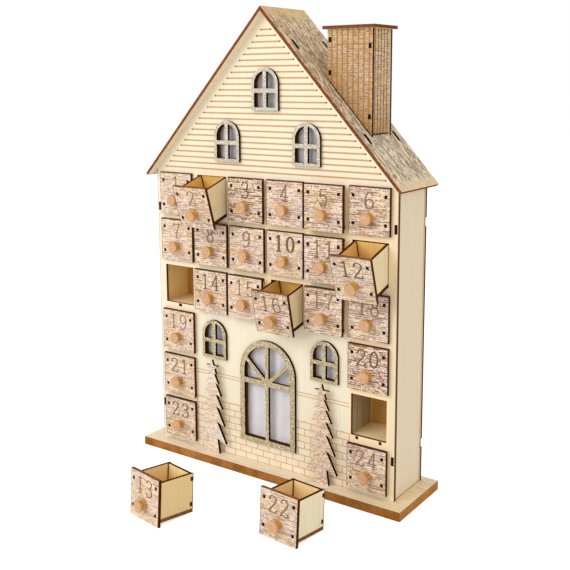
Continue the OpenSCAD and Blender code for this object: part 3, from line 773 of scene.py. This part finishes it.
def fleece_material(name, thin, thick):
    """Thin felted fleece: fine fibres, faintly lavender."""
    g = material(name)
    place = model_space(g)
    fibre = g.noise(place, 2.6, 5.0, 0.75)
    tuft = g.noise(place, 0.35, 3.0, 0.6)
    tint = g.mix(g.step(fibre, 0.35, 0.7), thin, thick)
    tint = g.mix(g.step(tuft, 0.35, 0.7, 0.0, 0.4), tint, TUFT)
    return g.surface(tint, 0.95, g.add(fibre, tuft), 0.35, sheen=0.4, specular=0.1)


FACADE = facade_material()
PALE_PLY = wood_material("pale_ply", CREAM, EVEN, 0.03)
SIDE_WALL = side_wall_material()
BOX_PLY = wood_material("box_ply", SIDE_TINT, UPRIGHT, 0.025)
INNER_PLY = wood_material("inner_ply", HONEY, UPRIGHT, 0.03)
# Copies of the inner ply, painted by how light falls in the compartments: the side walls' inner faces and
# the shelves' tops lighter, as lit, and the compartments' back darker, as in shade
LIT_LINING_PLY = wood_material("lit_lining_ply", (0.98, 0.82, 0.44), UPRIGHT, 0.03)
LIT_SHELF_PLY = wood_material("lit_shelf_ply", (0.98, 0.82, 0.50), UPRIGHT, 0.03)
SHADED_BACK_PLY = wood_material("shaded_back_ply", (0.61, 0.335, 0.085), UPRIGHT, 0.05)
SHADED_DIVIDER_PLY = divider_material()
BURNT = edge_material("burnt_edge", CHAR, EMBER, 0.48)
ROOF_EDGE = edge_material("roof_edge", (0.09, 0.026, 0.009), (0.31, 0.095, 0.028), 0.47)
CAP_EDGE = edge_material("cap_edge", (0.10, 0.035, 0.012), (0.26, 0.10, 0.035), 0.48)
TENON_END = edge_material("tenon_end", (0.008, 0.003, 0.002), (0.075, 0.020, 0.008), 0.55)
BLACK_EDGE = edge_material("black_edge", (0.003, 0.002, 0.002), (0.015, 0.008, 0.005), 0.55)
# A darker copy of the cut edge for shut fronts' tops, as shade, and a lighter brown copy for lit edges
SHADED_TOP_EDGE = edge_material("top_edge", (0.015, 0.004, 0.001), (0.13, 0.034, 0.006), 0.48)
RED_EDGE = edge_material("red_edge", (0.05, 0.011, 0.003), (0.20, 0.055, 0.012), 0.47)
LIT_BROWN_EDGE = edge_material("lit_brown_edge", (0.09, 0.03, 0.01), (0.40, 0.17, 0.055), 0.48)
FIBRE = fibre_material("fibre_edge", (0.27, 0.10, 0.010), (0.46, 0.18, 0.048),
                       (0.11, 0.038, 0.008), (0.66, 0.35, 0.12))
FIBRE_END = fibre_material("fibre_end", (0.46, 0.195, 0.05), (0.66, 0.31, 0.10),
                           (0.24, 0.10, 0.03), (0.82, 0.54, 0.28))
BASE_PRINT = base_print_material()
ROOF_PRINT = roof_print_material()
# The front's tone is darker than the side's: painted shade
CHIMNEY_PRINT = chimney_print_material("chimney_print", 0, 29.0, (0.74, 0.68, 0.54), (0.42, 0.18, 0.04))
CHIMNEY_SIDE_PRINT = chimney_print_material("chimney_side_print", 1, 41.0,
                                            (1.0, 0.97, 0.80), (0.20, 0.085, 0.025))
TREE_PRINT = tree_print_material()
GOLD_GLITTER = glitter_material("gold_glitter", (0.22, 0.15, 0.065), (0.68, 0.54, 0.31),
                                (0.50, 0.41, 0.25))
PALE_GLITTER = glitter_material("pale_glitter", (0.30, 0.26, 0.19), (0.74, 0.68, 0.56),
                                (0.56, 0.51, 0.42))
BEECH_END = beech_material("beech_end", (0.54, 0.285, 0.135), (0.66, 0.39, 0.22), (0.76, 0.50, 0.31))
BEECH = beech_material("beech", (0.47, 0.205, 0.045), (0.60, 0.31, 0.085), (0.71, 0.42, 0.145))
HALL_FLEECE = fleece_material("hall_fleece", (0.70, 0.68, 0.73), (0.90, 0.89, 0.92))
# The gable's fleece is painted darker than the hall's, as shade, for it lies deeper behind its frames
SHADED_GABLE_FLEECE = fleece_material("shaded_gable_fleece", (0.55, 0.52, 0.57), (0.71, 0.68, 0.72))


# Painting of the CAD nodes, face by face

def islands(mesh):
    """The faces of each separate solid in a mesh. Points that share a place count as one."""
    places = {}
    root = []

    def find(i):
        while root[i] != i:
            root[i] = root[root[i]]
            i = root[i]
        return i

    same = []
    for vertex in mesh.vertices:
        key = tuple(round(c, 6) for c in vertex.co)
        if key not in places:
            places[key] = len(root)
            root.append(len(root))
        same.append(places[key])
    for face in mesh.polygons:
        first = find(same[face.vertices[0]])
        for v in face.vertices[1:]:
            root[find(same[v])] = first
    groups = {}
    for face in mesh.polygons:
        groups.setdefault(find(same[face.vertices[0]]), []).append(face)
    return list(groups.values())


def paint(node, chooser, materials, space=Matrix.Identity(4)):
    """Gives each face of a node the material that chooser names from its normal in the given space."""
    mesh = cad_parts[node].data
    mesh.materials.clear()
    for entry in materials:
        mesh.materials.append(entry)
    turn = space.to_3x3().inverted()
    back = space.inverted()
    for group in islands(mesh):
        points = [back @ (mesh.vertices[v].co / MM) for face in group for v in face.vertices]
        lo = Vector([min(along) for along in zip(*points)])
        hi = Vector([max(along) for along in zip(*points)])
        for face in group:
            picked = chooser(turn @ face.normal, lo, hi)
            face.material_index = materials.index(picked)


X, Y, Z = (1, 0, 0), (0, 1, 0), (0, 0, 1)
# A normal faces a direction when their product is above this
FACING = 0.9


def sheet_chooser(axis, plus, minus, edge):
    """For a plate whose faces look along an axis: the material of each broad face, and of the edges."""
    direction = Vector(axis)

    def choose(normal, lo, hi):
        facing = normal.dot(direction)
        if facing > FACING:
            return plus
        if facing < -FACING:
            return minus
        return edge
    return choose


def paint_sheets(words, axis, plus, minus, edge=BURNT):
    """Paints each sheet whose name has these words in it."""
    kinds = list(dict.fromkeys((plus, minus, edge)))
    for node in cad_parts:
        if words in node:
            paint(node, sheet_chooser(axis, plus, minus, edge), kinds)


def paint_gable(node, plus, minus, edge):
    """A gable wall is a sheet with dark heads on the tenons that come through the roof."""
    flat = sheet_chooser(Y, plus, minus, edge)

    def choose(normal, lo, hi):
        return TENON_END if abs(normal.x) > 0.5 and normal.z > 0.5 else flat(normal, lo, hi)
    paint(node, choose, [plus, minus, edge, TENON_END])


def base_chooser(normal, lo, hi):
    """The base board: print on top, a paler saw cut at its two ends."""
    if normal.z > FACING:
        return BASE_PRINT
    return FIBRE_END if abs(normal.x) > FACING else FIBRE


paint_gable("facade_panel", INNER_PLY, FACADE, RED_EDGE)
paint_gable("back_panel", PALE_PLY, BOX_PLY, BURNT)
paint("base_board", base_chooser, [BASE_PRINT, FIBRE, FIBRE_END])
paint_sheets("side_wall_left", X, LIT_LINING_PLY, SIDE_WALL, TENON_END)
paint_sheets("side_wall_right", X, SIDE_WALL, LIT_LINING_PLY, TENON_END)
paint_sheets("compartment_back", Y, INNER_PLY, SHADED_BACK_PLY)
paint_sheets("shelf_", Z, LIT_SHELF_PLY, INNER_PLY, TENON_END)
paint_sheets("_floor", Z, LIT_SHELF_PLY, INNER_PLY, TENON_END)
paint_sheets("divider", X, SHADED_DIVIDER_PLY, INNER_PLY)
for roof, side in (("roof_left", -1), ("roof_right", 1)):
    outward = (side * math.sin(ROOF_ANGLE), 0, math.cos(ROOF_ANGLE))
    paint_sheets(roof, outward, ROOF_PRINT, PALE_PLY, ROOF_EDGE)
paint_sheets("chimney_front", Y, PALE_PLY, CHIMNEY_PRINT)
paint_sheets("chimney_back", Y, CHIMNEY_PRINT, PALE_PLY)
paint_sheets("chimney_left", X, PALE_PLY, CHIMNEY_SIDE_PRINT, TENON_END)
paint_sheets("chimney_right", X, CHIMNEY_SIDE_PRINT, PALE_PLY, TENON_END)
paint_sheets("chimney_cap", Z, BASE_PRINT, PALE_PLY, CAP_EDGE)
paint_sheets("gable_window", Y, BLACK_EDGE, PALE_GLITTER, BLACK_EDGE)
paint_sheets("side_window", Y, BLACK_EDGE, GOLD_GLITTER, BLACK_EDGE)
paint_sheets("main_window", Y, BLACK_EDGE, GOLD_GLITTER, BLACK_EDGE)
paint_sheets("tree_", Y, PALE_PLY, TREE_PRINT, BLACK_EDGE)


def drawer_chooser(front, side, inner, top_edge, foot_edge):
    """Which material each face of a drawer takes, from the solid that it belongs to."""
    def choose(normal, lo, hi):
        size = hi - lo
        thin = min(range(3), key=lambda i: size[i])
        middle = (lo + hi) / 2
        is_front = thin == 1 and middle.y < PLY
        # Only the knob is thicker than the sheet
        if size[thin] > PLY + 0.3:
            return BEECH_END if normal.y < -FACING else BEECH
        if abs(normal[thin]) < FACING:
            if thin == 0 and normal.y < -FACING:
                return TENON_END
            if is_front and normal.z > FACING:
                return top_edge
            return foot_edge if thin == 2 else BURNT
        if is_front:
            return front if normal.y < 0 else BOX_PLY
        if thin == 0:
            return side if normal.x * middle.x > 0 else inner
        if thin == 1:
            return inner if normal.y < 0 else side
        return inner if normal.z > 0 else side
    return choose


SPACES = {number: drawer_space(number) for number in range(1, 25)}
for number, space in SPACES.items():
    front = front_material(number, space)
    side = box_side_material(number, space)
    inner = box_inner_material(number, space)
    # Copies of one cut edge picked by how light falls: a loose front's top edge and a table drawer's foot
    # edge are painted lighter, where lit; a shut front's top edge and a tipped drawer's foot edge darker,
    # in shade
    top_edge = LIT_BROWN_EDGE if number in LOOSE else SHADED_TOP_EDGE
    foot_edge = BURNT if number in TIPPED else LIT_BROWN_EDGE
    kinds = [front, side, inner, BOX_PLY, BURNT, LIT_BROWN_EDGE, SHADED_TOP_EDGE, TENON_END, BEECH, BEECH_END]
    paint("drawer_%02d" % number, drawer_chooser(front, side, inner, top_edge, foot_edge), kinds, space)


# Plain numerals, 16 mm high, as strokes that are thick where they run down

def ring(cx, cy, rx, ry, count=28):
    """Points of an ellipse, from its top, closed."""
    return [(cx + rx * math.sin(2 * math.pi * i / count), cy + ry * math.cos(2 * math.pi * i / count))
            for i in range(count + 1)]


def smooth(points, count=7):
    """A smooth line through the points."""
    ends = [points[0]] + list(points) + [points[-1]]
    line = []
    for a, b, c, d in zip(ends, ends[1:], ends[2:], ends[3:]):
        for i in range(count):
            t = i / count
            line.append(tuple(0.5 * (2 * q + (r - p) * t + (2 * p - 5 * q + 4 * r - s) * t * t
                                     + (3 * q - p - 3 * r + s) * t ** 3) for p, q, r, s in zip(a, b, c, d)))
    line.append(points[-1])
    return line


SIX = [(2.9, 5.4), (1.6, 7.3), (-0.9, 6.9), (-3.0, 3.6), (-3.6, -1.4), (-2.6, -6.0), (0.2, -7.6),
       (2.9, -6.2), (3.5, -3.0), (2.5, 0.2), (0.2, 1.2), (-2.3, -0.3), (-3.3, -2.4)]
DIGITS = {
    "0": [ring(0, 0, 3.5, 7.3, 36)],
    "1": [[(0.2, 7.9), (0.2, -7.6)], [(0.2, 7.7), (-2.2, 5.7)], [(-2.3, -7.6), (2.7, -7.6)]],
    "2": [smooth([(-3.3, 4.0), (-2.8, 6.4), (-0.1, 7.6), (2.8, 6.4), (3.2, 3.6), (1.2, -0.2),
                  (-1.8, -3.9), (-3.6, -7.2)]),
          smooth([(-3.6, -7.2), (-1.0, -6.8), (1.6, -7.5), (3.4, -6.9), (3.9, -4.9)])],
    "3": [smooth([(-3.2, 5.0), (-2.0, 7.1), (0.4, 7.6), (2.8, 6.2), (2.8, 2.8), (1.2, 0.9), (-0.9, 0.5)]),
          smooth([(-0.9, 0.5), (1.8, 0.0), (3.5, -2.3), (3.1, -5.7), (0.5, -7.6), (-2.2, -7.1),
                  (-3.5, -4.9)])],
    "4": [[(1.4, 7.8), (-3.8, -3.3)], [(-3.8, -3.3), (3.8, -3.3)], [(1.4, 7.8), (1.4, -7.6)],
          [(-0.7, -7.6), (3.5, -7.6)]],
    "5": [smooth([(-2.5, 7.3), (0.4, 7.0), (3.1, 7.5)]), [(-2.5, 7.3), (-2.8, 0.5)],
          smooth([(-2.8, 0.5), (-0.4, 1.9), (2.4, 1.1), (3.5, -2.3), (2.6, -6.0), (-0.2, -7.6),
                  (-3.3, -5.8)])],
    "6": [smooth(SIX)],
    "7": [smooth([(-3.6, 5.2), (-3.2, 7.3), (-1.0, 6.8), (1.0, 7.4), (3.6, 7.2)]),
          smooth([(3.6, 7.2), (1.5, 2.6), (0.0, -2.4), (-0.6, -7.6)])],
    "8": [ring(0, 3.9, 2.7, 3.6), ring(0, -3.6, 3.4, 4.0)],
    "9": [smooth([(-x, -y) for x, y in SIX])],
}
# A number's digits: their step, widening and middle height; then its strokes: their
# thickness, usual and strong, its share where they run across, and their rim
DIGIT_STEP = 13.4
DIGIT_W = 1.08
NUMERAL_Z = 0.72 * FRONT_H
THICK = 0.75
THICK_STRONG = 1.7
THIN_SHARE = 0.1
INK_RIM = 0.4
# How far the rim and the middle of a stroke stand out from the front
RIM_RAISED = 0.05
MIDDLE_RAISED = RIM_RAISED * 1.6


def ribbon(line, thick, extra):
    """Both edges of a stroke that is thick where it runs down, and thin across."""
    edges = []
    for i, (x, y) in enumerate(line):
        x0, y0 = line[max(i - 1, 0)]
        x1, y1 = line[min(i + 1, len(line) - 1)]
        length = math.hypot(x1 - x0, y1 - y0) or 1.0
        tx, ty = (x1 - x0) / length, (y1 - y0) / length
        half = thick * max(abs(ty), THIN_SHARE) / 2 + extra
        cap = extra if i == len(line) - 1 else -extra if i == 0 else 0.0
        cx, cy = x + tx * cap, y + ty * cap
        edges.append(((cx - ty * half, cy + tx * half), (cx + ty * half, cy - tx * half)))
    return edges


def ink_material(name, tint, seed):
    """Engraved line, paler where the laser passed lightly."""
    g = material(name)
    touch = g.noise(g.shift(model_space(g), (seed, 0, 0)), 0.7, 3.0, 0.6)
    light = tuple(min(1.0, c * 1.9 + 0.03) for c in tint)
    return g.surface(g.mix(g.step(touch, 0.35, 0.65), tint, light), 0.7, touch, 0.03)


INK = ink_material("numeral_rim", (0.055, 0.028, 0.014), 3.0)
FAINT_INK = ink_material("numeral_rim_faint", (0.13, 0.075, 0.045), 7.0)
FILL = ink_material("numeral_fill", (0.25, 0.145, 0.08), 5.0)
DARK_FILL = ink_material("numeral_fill_dark", (0.12, 0.065, 0.026), 9.0)
# Drawers whose numerals have a faint rim, a dark middle, or thick strokes
FAINT = (1, 2, 7, 15, 17, 18, 19, 24)
DARK = (3, 10, 12, 14, 20, 23)
STRONG = (10,)


def new_piece(name, points, faces, materials):
    """A new object from points and faces."""
    mesh = bpy.data.meshes.new(name)
    mesh.from_pydata(points, [], faces)
    for entry in materials:
        mesh.materials.append(entry)
    piece = bpy.data.objects.new(name, mesh)
    bpy.context.collection.objects.link(piece)
    return piece


def numeral(number, space):
    """A drawer's number as strokes on its front: a dark rim under a paler middle."""
    vertices = []
    faces = []
    kinds = []
    text = str(number)
    thick = THICK_STRONG if number in STRONG else THICK
    for index, digit in enumerate(text):
        offset = (index - (len(text) - 1) / 2) * DIGIT_STEP
        for kind, (extra, raised) in enumerate(((INK_RIM, RIM_RAISED), (0.0, MIDDLE_RAISED))):
            for line in DIGITS[digit]:
                start = len(vertices)
                for left, right in ribbon(line, thick, extra):
                    for x, z in (left, right):
                        vertices.append(space @ Vector((x * DIGIT_W + offset, -raised, z + NUMERAL_Z)) * MM)
                for i in range(start, len(vertices) - 2, 2):
                    faces.append((i, i + 2, i + 3, i + 1))
                    kinds.append(kind)
    inks = [FAINT_INK if number in FAINT else INK, DARK_FILL if number in DARK else FILL]
    piece = new_piece("numeral_%02d" % number, vertices, faces, inks)
    for face, kind in zip(piece.data.polygons, kinds):
        face.material_index = kind
    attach(piece, "drawer_%02d" % number)


for number, space in SPACES.items():
    numeral(number, space)


# Fleece behind the windows

# Side of a mesh face, gap behind the facade, and how far the fleece sways, folds and creases
FLEECE_MESH = 1.6
FLEECE_GAP = 0.9
SWAY = 2.0
FOLD_DEPTH = 0.6
CREASE_DEPTH = 0.35


def fleece_point(front, x, z, fold_pitch):
    """A point of a sheet that hangs behind the front in soft upright folds, with slight creases."""
    sway = SWAY * math.sin(z * 0.045 + 1.3)
    fold = math.sin((x + sway) * 2 * math.pi / fold_pitch + 0.8 * math.sin(x * 0.11))
    crease = CREASE_DEPTH * math.sin((x - 0.4 * z) * 0.31) * math.sin(z * 0.083 + x * 0.05)
    return Vector((x, front + FLEECE_GAP + FOLD_DEPTH * fold + crease, z)) * MM


def fleece(name, node, cloth, covers, fold_pitch):
    """A thin sheet behind the facade, where covers says that it reaches."""
    lo, hi = low(node), high(node)
    columns = round((hi.x - lo.x) / FLEECE_MESH)
    rows = round((hi.z - lo.z) / FLEECE_MESH)

    def spot(i, j):
        return lo.x + (hi.x - lo.x) * i / columns, lo.z + (hi.z - lo.z) * j / rows

    points = [fleece_point(lo.y, *spot(i, j), fold_pitch)
              for j in range(rows + 1) for i in range(columns + 1)]
    faces = []
    for j in range(rows):
        for i in range(columns):
            if covers(*spot(i + 0.5, j + 0.5)):
                corner = j * (columns + 1) + i
                faces.append((corner, corner + 1, corner + columns + 2, corner + columns + 1))
    used = sorted({v for face in faces for v in face})
    renamed = {v: i for i, v in enumerate(used)}
    faces = [tuple(renamed[v] for v in face) for face in faces]
    piece = new_piece(name, [points[v] for v in used], faces, [cloth])
    for face in piece.data.polygons:
        face.use_smooth = True
    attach(piece, "house")
    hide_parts(node)


WINDOW_HALF = (high("gable_window_top").x - low("gable_window_top").x) / 2
FLEECE_MARGIN = 4
SHOULDER = high("gable_window_left").z


def gable_cut(x, z):
    """Whether the gable's fleece is here: wide at the two lower windows, narrow at the top one."""
    if z < SHOULDER:
        return True
    share = (z - SHOULDER) / (high("gable_diffuser").z - SHOULDER)
    narrow = WINDOW_HALF + FLEECE_MARGIN
    wide = high("gable_diffuser").x - narrow
    return abs(x) < wide + (narrow - wide) * share


fleece("fleece_gable", "gable_diffuser", SHADED_GABLE_FLEECE, gable_cut, 13.0)
fleece("fleece_hall", "lower_diffuser", HALL_FLEECE, lambda x, z: True, 17.0)


# Camera, solved from the photograph: its lengths in pixels, angles in radians, and stand

PHOTO = 570
FOCAL = 890.6
AXIS_Y = 228.0
YAW, PITCH, ROLL = 0.6088, 0.1647, -0.0046
STAND = Vector((503.71, -692.44, 396.03))

forward = Vector((-math.sin(YAW) * math.cos(PITCH), math.cos(YAW) * math.cos(PITCH), -math.sin(PITCH)))
level = Vector((math.cos(YAW), math.sin(YAW), 0))
upright = level.cross(forward)
right = level * math.cos(ROLL) + upright * math.sin(ROLL)
up = upright * math.cos(ROLL) - level * math.sin(ROLL)
lens = bpy.data.cameras.new("camera")
lens.sensor_width = 36
lens.lens = FOCAL / PHOTO * lens.sensor_width
lens.shift_y = (AXIS_Y - PHOTO / 2) / PHOTO
lens.clip_start = 0.05
lens.clip_end = 50
camera = bpy.data.objects.new("camera", lens)
camera.matrix_world = Matrix.Translation(STAND * MM) @ Matrix((right, up, -forward)).transposed().to_4x4()
bpy.context.collection.objects.link(camera)
bpy.context.scene.camera = camera


# Floor, lamps and world

def shown_rays(g):
    """1 for rays that show a background: from the camera, and through gloss or glass."""
    path = g.new("LightPath").outputs
    seen = g.either(path["Is Camera Ray"], path["Is Glossy Ray"])
    return g.either(seen, path["Is Transmission Ray"])


# The floor's grey and glow, and the light that the world casts
FLOOR_GREY = (0.80, 0.80, 0.80)
FLOOR_GLOW = 0.62
FLOOR_REACH = 6000
FLOOR_GAP = 0.1
SKY_TINT = (1.0, 0.943, 0.85)
SKY_LIGHT = 0.755
WHITE = (1.0, 1.0, 1.0)
# What the lamps look at, in metres
AIM = (0, 0, 0.22)


def floor():
    """A plain pale floor, which keeps the object's shadow."""
    g = material("floor")
    matt = g.new("BsdfDiffuse", colour(FLOOR_GREY))
    glow = g.new("Emission", colour(WHITE), FLOOR_GLOW)
    lit = g.new("AddShader", matt.outputs[0], glow.outputs[0])
    shader = g.new("MixShader", shown_rays(g), matt.outputs[0], lit.outputs[0])
    g.end(shader)
    square = ((-1, -1), (1, -1), (1, 1), (-1, 1))
    corners = [Vector((x * FLOOR_REACH, y * FLOOR_REACH, -FLOOR_GAP)) * MM for x, y in square]
    new_piece("floor", corners, [(0, 1, 2, 3)], [g.made])


def softbox(name, place, size, power, tint=WHITE):
    """A square lamp that looks at the house; its place and size are in metres."""
    light = bpy.data.lights.new(name, "AREA")
    light.shape = "SQUARE"
    light.size = size
    light.energy = power
    light.color = tint
    lamp = bpy.data.objects.new(name, light)
    lamp.location = place
    lamp.rotation_euler = (Vector(AIM) - Vector(place)).to_track_quat("-Z", "Y").to_euler()
    bpy.context.collection.objects.link(lamp)


def sky():
    """Soft warm light from all round, with a white background behind it."""
    world = bpy.data.worlds.new("studio")
    world.use_nodes = True
    world.node_tree.nodes.clear()
    g = Graph(world.node_tree)
    soft = g.new("Background", colour(SKY_TINT), SKY_LIGHT)
    white = g.new("Background", colour(WHITE), 1.0)
    both = g.new("MixShader", shown_rays(g), soft.outputs[0], white.outputs[0])
    g.end(both, "OutputWorld")
    bpy.context.scene.world = world


floor()
sky()
softbox("key", (-0.9, -1.7, 1.25), 1.6, 25, (0.975, 0.985, 1.0))
softbox("fill", (1.9, -0.7, 0.9), 1.2, 3)
bpy.context.scene.view_settings.view_transform = "Standard"
